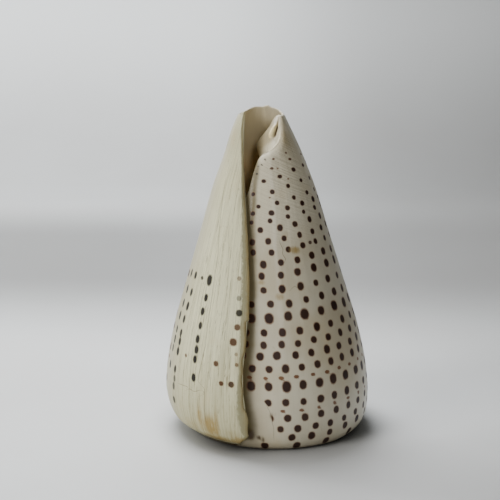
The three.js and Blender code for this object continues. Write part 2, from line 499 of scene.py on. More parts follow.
@dataclass(frozen=True)
class WearAndShade:
    """Stains, dirt and hairlines that an old shell has gathered, with painted shade: the lip's shadow on the
    wall beside it, partly brown dirt, and a shade on the top right, partly stain.
    """

    stains: tuple[Stain, ...] = (
        Stain(319.5, 69.0, 1.9, 1.2, 0.95), Stain(336.8, 53.7, 1.3, 1.1, 0.9),
        Stain(350.5, 58.5, 1.3, 0.8, 0.6), Stain(325.8, 74.6, 1.1, 1.0, 0.4),
        Stain(337.2, 27.0, 2.8, 2.6, 0.22), Stain(19, 7.0, 3.2, 4.8, 1.0), Stain(26, 9.5, 1.4, 5.5, 0.75),
        Stain(15, 9.0, 1.0, 6.0, 0.7), Stain(16, 1.7, 7.0, 1.9, 0.8), Stain(34, 5.0, 5.0, 3.6, 0.4),
        Stain(3, 2.2, 3.5, 2.2, 0.9), Stain(6, 4.8, 3.2, 2.4, 0.45), Stain(52, 4.0, 8.0, 3.0, 0.3),
        Stain(4, 34, 1.0, 3.0, 0.35), Stain(5, 24, 1.2, 2.0, 0.3),
    )
    marks: tuple[Stain, ...] = (
        Stain(358.2, 6.0, 1.3, 2.0, 1.0), Stain(353.0, 5.0, 0.7, 0.8, 0.9),
        Stain(350.6, 4.2, 0.6, 1.1, 0.75), Stain(345.2, 13.2, 0.5, 1.2, 0.7),
        Stain(15.5, 89.6, 0.35, 0.5, 0.5), Stain(8, 63, 0.4, 0.5, 0.35),
        Stain(30, 78, 0.3, 0.5, 0.35), Stain(39, 64.6, 0.3, 1.4, 0.55), Stain(28, 64.5, 0.25, 1.2, 0.4),
        Stain(24, 71, 0.25, 1.0, 0.35), Stain(7, 104, 0.3, 0.4, 0.4), Stain(11, 100, 0.3, 0.4, 0.4),
    )
    hairlines: tuple[Hairline, ...] = (
        Hairline(((8, 22), (18, 22.0), (22, 22.3), (24, 27.5), (37, 24.6), (67, 27.5), (92, 38)), True, 0.75),
        Hairline(((25, 21.0), (30, 19.6), (36, 20.6), (44, 20.2)), False, 0.75),
        Hairline(((64.6, 331.5), (66.2, 329), (68, 331.8), (69.6, 330.6), (72, 333.5)), True, 0.8),
        Hairline(((320, 55.6), (324, 57.2), (328.5, 55.6)), False, 0.5),
        Hairline(((5, 344), (8.4, 344), (12.1, 345), (14.9, 346), (18.1, 349)), True, 0.5),
        Hairline(((20, 11.5), (45, 11), (66, 16), (80, 22)), True, 0.3),
        Hairline(((12, 33), (40, 35.5), (62, 42)), True, 0.35),
    )
    # Where the painted shadow of the lip on the wall beside it begins, by height; it is partly brown dirt.
    shadow_line: Table = (
        (0, 372), (3, 366), (4.5, 359), (7, 357.3), (11.6, 358.2), (18.5, 360.5), (24, 360), (31, 359),
        (39, 358), (56, 357.5), (73, 359), (83, 359.5), (92, 358), (100, 356),
    )
    shadow_wander: float = 0.8
    shadow_soft: Span = (7.0, 2.0)
    shadow_end: Span = (420.0, 380.0)
    shadow_top: Span = (104.0, 96.0)
    # A brown-grey tint on the top right beside the rim, partly stain and partly painted shade.
    grey: float = 0.5
    grey_angles: Band = (262.0, 300.0, 330.0, 352.0)
    grey_levels: Span = (99.5, 106.0)
    reach: float = 3.0
    up_fade: float = 2.0
    across_fade: float = 3.0

    def paint(self, coil: Coil, angle: Array, height: Array) -> dict[str, Array]:
        """The values of the wear and of the painted shade over the wall.

        Args:
            coil: the shell's growth law.
            angle: each point's angle back from the lip.
            height: each point's height.

        Returns:
            Stain, with the painted shade at the top right, dirt, and the painted shadow of the lip from 0 to
            1, and each point's signed distance from the nearest hairline with that hairline's strength.
        """
        radius = glide(coil.side, height) * coil.shrink(angle)
        stain = self.patches(self.stains, angle, height, radius)
        # Painted shade on the top right, partly stain, goes in with the stains.
        grey_end = band(angle, *self.grey_angles) * ease(height, *self.grey_levels)
        stain = np.maximum(stain, self.grey * grey_end)
        dirt = self.patches(self.marks, angle, height, radius)
        # Painted shadow of the lip on the wall just past its edge, partly brown dirt, fading deep inside and
        # near the top.
        edge = glide(self.shadow_line, height) + self.shadow_wander * wander(height / 16.0, Seed.SHADOW, 5)
        before, after = self.shadow_soft
        under = ease(angle, edge - before, edge + after) * ease(angle, *self.shadow_end)
        under = under * ease(height, *self.shadow_top)
        hair = np.full(angle.shape, self.reach)
        hair_on = np.zeros(angle.shape)
        for line in self.hairlines:
            signed, on = self.beside(line, angle, height, radius)
            nearer = (np.abs(signed) < np.abs(hair)) & (on > 0.01)
            hair = np.where(nearer, signed, hair)
            hair_on = np.where(nearer, on, hair_on)
        return {"stain": stain, "dirt": dirt, "under": under, "hair": hair, "hair_on": hair_on}

    def patches(self, places: tuple[Stain, ...], angle: Array, height: Array,
                radius: Array) -> Array:
        """The strongest of some soft patches at each point.

        Args:
            places: the patches.
            angle: each point's angle back from the lip.
            height: each point's height.
            radius: each point's distance from the axis.

        Returns:
            The strength at each point.
        """
        total = np.zeros(angle.shape)
        for place in places:
            across = np.radians(angle - place.angle) * radius / place.half_width
            up = (height - place.height) / place.half_height
            total = np.maximum(total, place.amount * np.exp(-0.7 * (across**2 + up**2) ** 1.3))
        return total

    def beside(self, line: Hairline, angle: Array, height: Array,
               radius: Array) -> tuple[Array, Array]:
        """Signed distance from a hairline, and how much of the line is there.

        Args:
            line: the hairline.
            angle: each point's angle back from the lip.
            height: each point's height.
            radius: each point's distance from the axis.

        Returns:
            The distance in millimetres, clipped at the pattern's reach, and the strength from 0 to 1.
        """
        places, values = np.array(line.path, float).T
        if line.upright:
            at = height
            signed = np.radians(angle - np.interp(at, places, values)) * radius
            fade = self.up_fade
        else:
            at = angle
            signed = height - np.interp(at, places, values)
            fade = self.across_fade
        on = ease(at, places[0] - fade, places[0] + fade) * ease(at, places[-1] + fade, places[-1] - fade)
        on = np.where(np.abs(signed) < self.reach, on * line.amount, 0.0)
        return np.clip(signed, -self.reach, self.reach), on


@dataclass
class Surface:
    """Points, faces and values at the points, gathered from several sheets."""

    points: list[Array] = field(default_factory=list)
    faces: list[Array] = field(default_factory=list)
    values: dict[str, list[Array]] = field(default_factory=dict)
    count: int = 0

    NAMES = (
        "spot", "tone", "strength", "turn", "level", "inner", "worn", "stain", "dirt", "under", "hair",
        "hair_on", "fold_cream_and_highlight", "pale", "tan", "edge",
    )
    BLANK = {"spot": 4.0, "strength": 1.0, "hair": 3.0}

    def add(self, points: Array, faces: Array, values: dict[str, Array]) -> None:
        """Adds one sheet.

        Args:
            points: the sheet's points in millimetres, one row each.
            faces: the sheet's faces, as rows of four point numbers.
            values: named values, one for each point.
        """
        self.points.append(points)
        self.faces.append(faces + self.count)
        for name in self.NAMES:
            blank = np.full(len(points), self.BLANK.get(name, 0.0))
            self.values.setdefault(name, []).append(np.asarray(values.get(name, blank), float).ravel())
        self.count += len(points)

    def build(self, name: str) -> bpy.types.Object:
        """Makes the Blender object.

        Args:
            name: the object's name.

        Returns:
            The object, smooth shaded, with the values as point attributes.
        """
        points = np.concatenate(self.points) * MM
        faces = np.concatenate(self.faces)
        mesh = bpy.data.meshes.new(name)
        mesh.from_pydata(points.tolist(), [], [clean_face(face) for face in faces.tolist()])
        for key, parts in self.values.items():
            attribute = mesh.attributes.new(key, "FLOAT", "POINT")
            attribute.data.foreach_set("value", np.concatenate(parts).astype(np.float32))
        mesh.polygons.foreach_set("use_smooth", [True] * len(mesh.polygons))
        mesh.validate()
        mesh.update()
        made = bpy.data.objects.new(name, mesh)
        bpy.context.scene.collection.objects.link(made)
        return made


def clean_face(face: list[int]) -> list[int]:
    """The face without a repeated corner."""
    return [corner for i, corner in enumerate(face) if corner != face[i - 1]]


def grid_faces(rows: int, columns: int, closed: bool = True, flip: bool = False) -> Array:
    """Faces of a grid of points whose rows may close on themselves.

    Args:
        rows: number of rows of points.
        columns: number of points in each row.
        closed: whether a row's last point joins its first.
        flip: whether the faces point the other way.

    Returns:
        The faces, as rows of four point numbers.
    """
    across = np.arange(columns if closed else columns - 1)
    row, column = np.meshgrid(np.arange(rows - 1), across, indexing="ij")
    beside = (column + 1) % columns
    start = row * columns
    above = start + columns
    faces = np.stack([start + column, start + beside, above + beside, above + column], -1).reshape(-1, 4)
    return faces[:, ::-1] if flip else faces


@dataclass
class WhorlWall:
    """The wall of the last two whorls as one closed sheet with a chamfered lip and a thin rim."""

    coil: Coil
    spots: SpotPattern
    wear_and_shade: WearAndShade
    fine_columns: int = 318
    inside_columns: int = 36
    ramp_rows: int = 10
    side_rows: int = 152
    inner_rows: int = 30
    rim_rows: int = 8
    low_rows: int = 14
    upper_rows: int = 38
    low_share: float = 0.05
    top_share: float = 0.01
    wall: float = 2.6
    inner_wall: float = 1.4
    rim_wall: float = 1.0
    lip_wall: float = 2.4
    thin_levels: Span = (48.0, 108.0)
    inner_from: Span = (352.0, 378.0)
    lip_taper: Span = (0.0, 14.0)
    least_inner: float = 2.6
    least_chamfered: float = 0.35
    least_rise: float = 0.02
    edge_round: float = 0.45
    rim_round: float = 0.55
    ridge_extra: float = 1.1
    ridge_round: float = 2.8
    ridge_angles: Band = (284.0, 296.0, 352.0, 372.0)
    rounding_floor: float = 0.02
    weld: float = 0.6
    channel: float = 0.5
    channel_share: float = 0.56
    last_angle: float = 704.0
    corner: float = 4.2
    edge_reach: float = 26.0
    chamfer_slope: float = 0.58
    chamfer_power: float = 1.1
    chamfer_deepest: float = 1.8
    setback: Table = (
        (0, 3.0), (1, 2.1), (2, 1.2), (3, 0.2), (4, -0.7), (5.3, -1.36), (7.7, -1.25), (11.5, -1.42),
        (13.6, -1.29), (15.2, -0.63), (16.5, 0), (19.5, 0.15), (23.2, 0.28), (26.8, 0.59), (30.1, 0.41),
        (33.5, 0.51), (36.1, -0.07), (38.4, -0.48), (46.1, -0.05), (46.7, -0.97), (53, -0.69), (59.7, -0.39),
        (66.3, 0.28), (73, 0.93), (79.7, 1.85), (86.3, 2.45), (92.9, 2.15), (99.4, 1.7), (105.9, 1.05),
        (112.5, 0.7), (116, 0.6),
    )
    chamfer: Table = (
        (0, 0.8), (3, 1.0), (5.3, 1.5), (7.7, 2.3), (11.5, 3.2), (13.6, 3.4), (15.2, 2.9), (16.5, 2.35),
        (19.5, 2.1), (23.2, 1.7), (26.8, 1.4), (30.1, 1.5), (33.5, 1.35), (36.1, 1.65), (38.4, 2.0),
        (46.1, 1.85), (46.7, 2.8), (53, 2.7), (59.7, 2.75), (66.3, 2.4), (73, 2.2), (79.7, 1.8), (86.3, 1.3),
        (92.9, 1.15), (99.4, 1.0), (105.9, 0.9), (112.5, 0.8), (116, 0.7),
    )
    ragged: float = 0.12
    ragged_fine: float = 0.04
    ragged_levels: Span = (60.0, 30.0)
    rim_ragged: float = 0.16
    rim_ragged_angles: Span = (360.0, 300.0)
    shoulder_wear: Table = ((0, 0.9), (40, 1.5), (78, 1.7), (120, 0.6), (165, 0))
    wear_height: float = 15.0
    wear_power: float = 1.6
    callus: Table = (
        (284, 0), (296, 0.5), (306, 1.2), (314, 3.0), (324, 5.6), (338, 6.2), (348, 5.0), (356, 3.0),
        (364, 1.6), (376, 0.8), (392, 0),
    )
    callus_spread: float = 1.15
    foot_slant: float = 3.0
    foot_levels: Span = (30.0, 0.0)
    drift: float = 1.4
    old_lines: float = 0.35
    fresh_angles: Span = (70.0, 20.0)
    line_depth: float = 0.075
    line_pitch: float = 9.0
    wave_depth: float = 0.16
    wave_pitch: float = 60.0
    thread_depth: float = 0.04
    thread_pitch: float = 1.6
    thread_slant: float = 0.035
    thread_levels: Span = (60.0, 92.0)
    thread_angles: Span = (200.0, 300.0)
    meet_share: float = 0.4
    meet_depth: float = 1.2
    meet_ridge: float = 2.4
    inner_fade: Place = (0.2, 0.5, 0.8)
    opening_angles: Band = (288.0, 300.0, 376.0, 400.0)
    opening_depths: Span = (16.0, 9.0)
    back_angles: Span = (298.0, 328.0)
    back_depth: float = 1.4
    back_deeper: float = 4.6
    back_soft: float = 0.6
    tan_from: Span = (-1.2, 1.0)
    worn_angles: Span = (84.0, 30.0)
    underside: float = 6.0

    def angles(self) -> Array:
        """Angles of the columns, close together at the lip and wide apart inside."""
        lip = [0.0, 0.05, 0.14, 0.3, 0.55, 0.9, 1.35, 1.9, 2.5, 3.1, 3.6, 4.0, 4.2, 4.4, 4.8, 5.5, 6.4]
        last = np.linspace(7.4, 376.0, self.fine_columns)
        inside = np.linspace(380.0, self.last_angle, self.inside_columns)
        return np.concatenate([lip, last, inside])

    def levels(self) -> Array:
        """Shares of the rim's height for the rows of the side, close together at the shoulder and the rim."""
        low = np.linspace(0.0, self.low_share, self.low_rows)[:-1]
        middle = np.linspace(self.low_share, 1.0 - self.top_share, self.side_rows)[:-1]
        top = 1.0 - self.top_share * np.array([1.0, 0.7, 0.45, 0.28, 0.16, 0.08, 0.025, 0.0])
        return np.concatenate([low, middle, top])

    def picked(self) -> Array:
        """Numbers of the rows that the inner face keeps, with every row of the rim."""
        rows = len(self.levels())
        low = np.linspace(0, rows - self.upper_rows - 2, self.inner_rows // 2).astype(int)
        high = np.linspace(rows - self.upper_rows, rows - self.rim_rows - 1, self.inner_rows // 2).astype(int)
        return np.unique(np.concatenate([low, high, np.arange(rows - self.rim_rows, rows)]))

    def thickness(self, angle: Array, height: Array, below: Array) -> Array:
        """The wall's thickness.

        Args:
            angle: each point's angle back from the lip.
            height: each point's height.
            below: each point's distance below the rim.

        Returns:
            The thickness, with the rounded thickening behind the rim that runs in under the lip.
        """
        wall = self.wall + (self.inner_wall - self.wall) * ease(angle, *self.inner_from)
        near = self.lip_wall + (wall - self.lip_wall) * ease(angle, *self.lip_taper)
        thick = near + (np.minimum(self.rim_wall, near) - near) * ease(height, *self.thin_levels)
        callus = glide(self.callus, angle) * np.ones_like(height)
        depth = np.clip(1.0 - below / np.maximum(callus * self.callus_spread, 0.1), 0.0, 1.0)
        return thick + self.ridge_extra * self.ridge(angle) + callus * np.sqrt(1.0 - depth**2)

    def ridge(self, angle: Array) -> Array:
        """Where the rim is the thick rounded ridge beside the pillar."""
        return band(angle, *self.ridge_angles)

    def relief(self, angle: Array, height: Array) -> Array:
        """Growth lines, slow waves and spiral threads of the outer face.

        Args:
            angle: each point's angle back from the lip.
            height: each point's height.

        Returns:
            How far each point is raised, in millimetres.
        """
        drift = angle + self.foot_slant * ease(height, *self.foot_levels)
        drift = drift + self.drift * wander(height / 40.0, Seed.DRIFT, 3)
        fresh = self.old_lines + (1.0 - self.old_lines) * ease(angle, *self.fresh_angles)
        lines = self.line_depth * wander(drift / self.line_pitch, Seed.LINES, 6) * fresh
        slow = self.wave_depth * wander(drift / self.wave_pitch, Seed.WAVES, 3) * ease(angle, 0.0, 20.0)
        turns = (height + self.thread_slant * angle) / self.thread_pitch
        threads = self.thread_depth * np.sin(2 * np.pi * turns) * ease(height, *self.thread_levels)
        return lines + slow + threads * ease(angle, *self.thread_angles)

    def spread(self, angle: Array, height: Array) -> Array:
        """The columns' angles once the corner column follows the chamfer's outer edge.

        Args:
            angle: the columns' even angles.
            height: each point's height.

        Returns:
            Each point's angle back from the lip's edge.
        """
        radius = glide(self.coil.side, height)
        chamfer = glide(self.chamfer, height) + self.ragged * wander(height / 6.0, Seed.CHAMFER, 5)
        corner = np.degrees(chamfer / radius)
        inside = angle / self.corner * corner
        rest = corner + (angle - self.corner) * (self.edge_reach - corner) / (self.edge_reach - self.corner)
        return np.where(angle < self.corner, inside, np.where(angle < self.edge_reach, rest, angle))

    def build(self, surface: Surface) -> None:
        """Adds the wall to the surface.

        Args:
            surface: what the wall's points and faces are added to.
        """
        coil = self.coil
        angle = self.angles()[:, None]
        share = self.levels()[None, :]
        nicks = self.rim_ragged * wander(angle / 50.0, Seed.RIM, 5) * ease(angle, *self.rim_ragged_angles)
        rim = glide(coil.rim, angle) + nicks
        height = share * rim
        nicks = self.ragged * wander(height / 7.0, Seed.EDGE, 5) * ease(height, *self.ragged_levels)
        edge = glide(self.setback, height) + nicks
        edge = edge + self.ragged_fine * wander(height / 5.0, Seed.FINE_EDGE, 4)
        base = coil.turned(self.spread(angle, height), height)
        flat_radius = glide(coil.side, height) * coil.shrink(base)
        base = base + np.degrees(edge / flat_radius) * np.clip(1.0 - angle / self.edge_reach, 0.0, 1.0)
        from_lip = np.radians(base - coil.turned(np.zeros(1), height)) * flat_radius - edge
        below = (1.0 - share) * rim
        rim_size = self.rim_round + (self.ridge_round - self.rim_round) * self.ridge(angle)
        there = self.rounding(np.maximum(from_lip, 0.0), self.edge_round) * self.rounding(below, rim_size)
        face = np.clip(1.0 - angle / self.corner, 0.0, 1.0)
        chamfer = glide(self.chamfer, height)
        drop = np.minimum(self.chamfer_slope * chamfer, self.chamfer_deepest) * face**self.chamfer_power
        thick = np.maximum(self.thickness(angle, height, below), drop + self.least_chamfered)
        deepest = self.meet_depth + self.meet_ridge * self.ridge(angle)
        meet = drop + self.meet_share * np.minimum(thick - drop, deepest)
        low = np.clip(1.0 - height / self.wear_height, 0.0, 1.0) ** self.wear_power
        radius = glide(coil.side, height) * coil.shrink(base) + self.relief(base, height) * there
        radius = radius - glide(self.shoulder_wear, angle) * low
        lift = coil.lift(angle, height)
        outer = coil.place(base, radius - drop - (meet - drop) * (1.0 - there), height + lift)
        inside_height = np.maximum(height, self.least_inner + self.least_rise * height)
        inner = coil.place(base, radius - meet - (thick - meet) * there, inside_height + lift)
        pick = self.picked()
        inner = inner[:, pick]
        ramp, ramp_inner = self.ramp(angle, base, outer[:, 0], inner[:, 0])
        ring = np.concatenate([ramp, outer, inner[:, ::-1], ramp_inner[:, ::-1]], axis=1)
        values = self.values(angle, base, height, pick, ramp.shape[1])
        # Tan behind the ridge line, darker in part as painted shade where the lip keeps the light off; pale
        # in front of it.
        behind = ease(coil.behind_ridge(ring), *self.tan_from)
        values["pale"] = values["pale"] * (1.0 - behind)
        values["tan"] = values["tan"] * behind
        surface.add(ring.reshape(-1, 3), grid_faces(len(angle), ring.shape[1]), values)
        outside = ramp.shape[1] + outer.shape[1]
        self.cap(surface, ring[0], outside, False)
        self.cap(surface, ring[-1], outside, True)

    def rounding(self, away: Array, size: float) -> Array:
        """Share of the wall's thickness that is there this far from an edge of this rounding."""
        near = np.clip(away / size, 0.0, 1.0)
        round_share = np.sqrt(np.clip(1.0 - (1.0 - near) ** 2, 0.0, 1.0))
        return round_share * (1.0 - self.rounding_floor) + self.rounding_floor

    def ramp(self, angle: Array, base: Array, shoulder: Array,
             inside: Array) -> tuple[Array, Array]:
        """The flat of the spire between this whorl's shoulder and the whorl before it.

        Args:
            angle: the columns' angles.
            base: the columns' angles after the lip has drawn back.
            shoulder: the shoulder's outer points.
            inside: the shoulder's inner points.

        Returns:
            The ramp's outer and inner points.
        """
        coil = self.coil
        share = np.linspace(0.0, 1.0, self.ramp_rows + 1)[None, :-1]
        suture = coil.shoulder * coil.shrink(angle + FULL_TURN) - self.weld
        start = coil.place(base[:, :1], suture, np.zeros_like(suture))
        channel = self.channel * np.clip(np.sin(np.pi * np.clip(share / self.channel_share, 0, 1)), 0, 1)
        outer = start + (shoulder[:, None] - start) * share[..., None]
        outer[..., 2] += channel
        above = start + np.array([0.0, 0.0, self.inner_wall])
        inner = above + (inside[:, None] - above) * share[..., None]
        return outer, inner

    def values(self, column: Array, base: Array, height: Array, pick: Array,
               ramp: int) -> dict[str, Array]:
        """The values that the finish reads at each of the wall's points.

        Args:
            column: angles of the columns.
            base: angles of the outer face's points.
            height: heights of the outer face's points.
            pick: rows that the inner face keeps.
            ramp: number of points across the ramp.

        Returns:
            The named values, in the order of the wall's points.
        """
        flat = np.zeros((base.shape[0], ramp))
        ramp_angle = base[:, :1] + flat
        ramp_height = flat - np.linspace(self.underside, 0.0, ramp)[None]
        angle = np.concatenate([ramp_angle, base, base[:, pick][:, ::-1], ramp_angle], axis=1)
        level = np.concatenate([ramp_height, height, height[:, pick][:, ::-1], flat], axis=1)
        outside = ramp + base.shape[1]
        values = self.spots.paint(self.coil, angle, level)
        values.update(self.wear_and_shade.paint(self.coil, angle, level))
        inner = np.zeros(angle.shape)
        inner[:, outside:] = 1.0
        inner[:, outside:outside + len(self.inner_fade)] = self.inner_fade
        for name, blank in (("spot", 4.0), ("dirt", 0.0), ("stain", 0.0), ("hair_on", 0.0)):
            values[name][:, outside:] = blank
        below = level[:, outside:outside + 1] - level
        opening = inner * band(angle, *self.opening_angles) * ease(below, *self.opening_depths)
        back = self.back_depth + self.back_deeper * ease(angle, *self.back_angles)
        worn_back = self.ridge(angle) * ease(below, back, self.back_soft)
        values["pale"] = np.maximum(opening, (1.0 - inner) * worn_back)
        values["tan"] = opening
        values["edge"] = np.clip(1.0 - column / self.corner, 0.0, 1.0) * np.ones_like(angle) * (1.0 - inner)
        values["inner"] = inner
        values["turn"] = angle / FULL_TURN
        values["level"] = level
        values["worn"] = ease(angle, *self.worn_angles) * (1.0 - inner)
        return values

    def cap(self, surface: Surface, ring: Array, outside: int, last: bool) -> None:
        """Closes one end of the sheet with strips between its outer and inner points.

        Args:
            surface: what the strips are added to.
            ring: the end's points.
            outside: how many of them are on the outer side.
            last: whether it is the end inside the shell.
        """
        inner = ring[outside:][::-1]
        take = np.linspace(0, outside - 1, len(inner)).astype(int)
        pairs = np.stack([ring[take], inner], axis=1)
        faces = grid_faces(len(take), 2, False, last)
        surface.add(pairs.reshape(-1, 3), faces, {"worn": np.ones(len(take) * 2)})


@dataclass
class Columella:
    """The smooth pillar that the whorls turn round, with its bright fold, whose cream is partly a painted
    highlight, and its groove beside the rim, darkened with painted shade; its tip and left side have painted
    shade too.
    """

    coil: Coil
    path: Table = (
        (1, 0, 0, 15), (20, 0, -2, 13), (45, 0.5, -4.5, 11.5), (70, 1.5, -7, 9.8), (85, 3, -8, 8),
        (95, 4, -6.9, 6.4), (98, 4.4, -6.3, 5.3), (101, 5, -5.6, 3.9), (104, 5.1, -4.6, 3.6),
        (107, 5.1, -3.2, 3.4), (111, 5.6, -0.8, 2.4), (113.2, 6, 0.8, 1.2),
    )
    inside_wall: float = 0.8
    joined_from: Span = (94.0, 103.0)
    joined_to: Span = (112.6, 102.0)
    joined_left: Span = (175.0, 92.0)
    joined_right: Span = (290.0, 318.0)
    rows: int = 84
    low_rows: int = 12
    sides: int = 96
    fine_from: float = 95.0
    reach_start: float = 9.0
    reach_rounds: int = 8
    reach_pace: float = 0.8
    fold_height: float = 0.8
    fold_width: float = 14.0
    fold_at: Place = (107.0, 226.0, 6.0)
    fold_levels: Band = (105.6, 107.4, 109.8, 111.4)
    groove_depth: float = 1.0
    groove_step: float = 27.0
    groove_width: float = 9.0
    groove_levels: Span = (105.8, 107.4)
    # Painted shade in the groove: where it fades out at the top, and how dark it is.
    groove_shade_end: Span = (113.0, 111.5)
    groove_shade: float = 0.85
    warmth: float = 1.5
    tan_from: Span = (-1.2, 1.0)
    # Painted shade on the tip and on the left side, where the lip keeps the light off: how dark, where, and
    # how much lighter the side is higher up.
    tip_shade: float = 0.4
    tip_levels: Span = (108.5, 110.0)
    tip_from: Span = (-1.2, 0.4)
    side_shade: float = 0.5
    side_shade_lighter: float = 0.25
    side_levels: Span = (100.0, 105.0)
    side_from: Span = (-0.3, 2.8)
    turns: float = 1.5
    end_rise: float = 0.5
    end_level: float = 113.0

    def reach(self, x: Array, y: Array, heights: Array, turn: Array) -> Array:
        """How far the middle of the last whorl's wall is from the pillar's middle.

        Args:
            x: the pillar's middle, to the right of the coil's axis.
            y: the pillar's middle, behind the coil's axis.
            heights: height of each ring.
            turn: direction in degrees.

        Returns:
            The distance for each height and direction.
        """
        away = np.full(np.broadcast(heights, turn).shape, self.reach_start)
        for _ in range(self.reach_rounds):
            across, back = x + away * np.cos(np.radians(turn)), y + away * np.sin(np.radians(turn))
            angle = (self.coil.lip_angle - np.degrees(np.arctan2(back, across))) % FULL_TURN
            wall = glide(self.coil.side, heights) * self.coil.shrink(angle) - self.inside_wall
            away = away + self.reach_pace * (wall - np.hypot(across, back))
        return away

    def build(self, surface: Surface) -> None:
        """Adds the pillar to the surface.

        Args:
            surface: what the pillar's points and faces are added to.
        """
        low = np.linspace(self.path[0][0], self.fine_from, self.low_rows)[:-1]
        heights = np.concatenate([low, np.linspace(self.fine_from, self.path[-1][0], self.rows)])[:, None]
        track = [glide(tuple((row[0], row[i]) for row in self.path), heights) for i in (1, 2, 3)]
        turn = np.linspace(0.0, FULL_TURN, self.sides, endpoint=False)[None]
        start, direction, rate = self.fold_at
        middle = direction + rate * (heights - start)
        fold = band(heights, *self.fold_levels) * np.exp(-(((turn - middle) / self.fold_width) ** 2))
        beside = (turn - middle - self.groove_step) / self.groove_width
        groove = ease(heights, *self.groove_levels) * np.exp(-(beside**2))
        reach = self.reach(track[0], track[1], heights, turn)
        joined = ease(heights, *self.joined_from) * ease(heights, *self.joined_to)
        joined = joined * np.maximum(ease(turn, *self.joined_left), ease(turn, *self.joined_right))
        radius = track[2] + (reach - track[2]) * joined + self.fold_height * fold - self.groove_depth * groove
        radius = np.minimum(radius, reach)
        x = track[0] + radius * np.cos(np.radians(turn)) + self.coil.axis(heights)
        y = track[1] + radius * np.sin(np.radians(turn))
        points = np.stack([x, y + self.coil.middle[1], heights + 0 * turn], -1)
        shape = points.shape[:2]
        left = self.coil.behind_ridge(points)
        # Tan behind the ridge line, partly painted shade.
        behind = ease(left, *self.tan_from)
        level = points[..., 2]
        # Painted shade on the pillar's tip and on its left side.
        tip = self.tip_shade * ease(level, *self.tip_levels) * ease(left, *self.tip_from)
        side = self.side_shade - self.side_shade_lighter * ease(level, *self.side_levels)
        shaded = np.maximum(ease(left, *self.side_from) * side, tip)
        values = {
            "inner": np.ones(shape), "level": level,
            "turn": self.turns + turn / FULL_TURN / 4 + 0 * heights,
            # Cream of the fold, partly a painted highlight; tan behind the ridge, partly painted shade.
            "fold_cream_and_highlight": np.minimum(self.warmth * fold, 1.0), "tan": behind, "pale": 1.0 - behind,
            # Painted shade in the groove and on the tip and left side.
            "dirt": np.maximum(self.groove_shade * groove * ease(heights, *self.groove_shade_end), shaded),
        }
        surface.add(points.reshape(-1, 3), grid_faces(shape[0], self.sides), values)
        end = np.concatenate([points[-1], points[-1].mean(0)[None] + np.array([[0, 0, self.end_rise]])])
        ring = np.arange(self.sides)
        fan = np.stack([ring, (ring + 1) % self.sides, np.full(self.sides, self.sides), ring], -1)
        blank = np.ones(len(end))
        end_values = {"inner": blank, "level": self.end_level * blank, "turn": self.turns * blank}
        surface.add(end, fan, end_values)


@dataclass
class Spire:
    """The early whorls, seen from below as a flat coil of ramps round the tip."""

    coil: Coil
    first: float = 690.0
    last: float = 3420.0
    step: float = 11.0
    full_width: float = 3.5
    underside: float = 6.0
    dish: Table = ((0, 2.2), (4, 2.0), (9, 1.4), (17, 0.7), (25, 0.15), (30, 0.0))
    profile: tuple[Span, ...] = (
        (-0.08, 0.35), (0.0, 0.12), (0.12, 0.32), (0.3, 0.42), (0.5, 0.3), (0.7, 0.06), (0.86, 0.0),
        (0.96, 0.1), (1.0, 0.5), (1.0, 1.8), (0.5, 1.9), (-0.08, 1.8),
    )

    def build(self, surface: Surface) -> None:
        """Adds the early whorls to the surface.

        Args:
            surface: what the whorls' points and faces are added to.
        """
        coil = self.coil
        angle = np.arange(self.first, self.last, self.step)[:, None]
        share, depth = np.array(self.profile).T
        outer = coil.shoulder * coil.shrink(angle)
        suture = coil.shoulder * coil.shrink(angle + FULL_TURN)
        width = outer - suture
        radius = suture + width * share[None]
        height = glide(self.dish, outer) + depth[None] * np.minimum(1.0, width / self.full_width)
        plan = np.radians(coil.lip_angle - angle)
        x = radius * np.cos(plan) + coil.axis(height)
        y = radius * np.sin(plan) + coil.middle[1]
        points = np.stack([x, y, height + 0 * radius], -1)
        low = -self.underside * (1.0 - share)[None] + 0 * radius
        values = {"level": low, "turn": angle / FULL_TURN + 0 * radius}
        surface.add(points.reshape(-1, 3), grid_faces(len(angle), len(share)), values)


class Signal:
    """A number socket of a shader that adds Math nodes when it is used in an expression."""

    def __init__(self, board: "Board", socket: bpy.types.NodeSocket) -> None:
        """Wraps a socket of the board's node tree."""
        self.board = board
        self.socket = socket

    def math(self, operation: str, *others: "Signal | float") -> "Signal":
        """Adds a Math node with this signal as its first operand."""
        return self.board.add("ShaderNodeMath", {"operation": operation}, dict(enumerate((self, *others))))

    def __add__(self, other: "Signal | float") -> "Signal":
        """Sum."""
        return self.math("ADD", other)

    __radd__ = __add__

    def __sub__(self, other: "Signal | float") -> "Signal":
        """Difference."""
        return self.math("SUBTRACT", other)

    def __rsub__(self, other: "Signal | float") -> "Signal":
        """Difference with this signal taken away."""
        return self.board.add("ShaderNodeMath", {"operation": "SUBTRACT"}, {0: other, 1: self})

    def __mul__(self, other: "Signal | float") -> "Signal":
        """Product."""
        return self.math("MULTIPLY", other)

    __rmul__ = __mul__

    def step(self, low: float, high: float) -> "Signal":
        """Smooth step from 0 at low to 1 at high; high may be below low."""
        flip = high < low
        ends = {1: min(low, high), 2: max(low, high), 3: 1.0 if flip else 0.0, 4: 0.0 if flip else 1.0}
        return self.board.add("ShaderNodeMapRange", {"interpolation_type": "SMOOTHSTEP"}, {0: self, **ends})

    def band(self, start: float, full: float, weaker: float, end: float) -> "Signal":
        """Smooth band that rises from start to full and falls from weaker to end."""
        return self.step(start, full) * self.step(end, weaker)


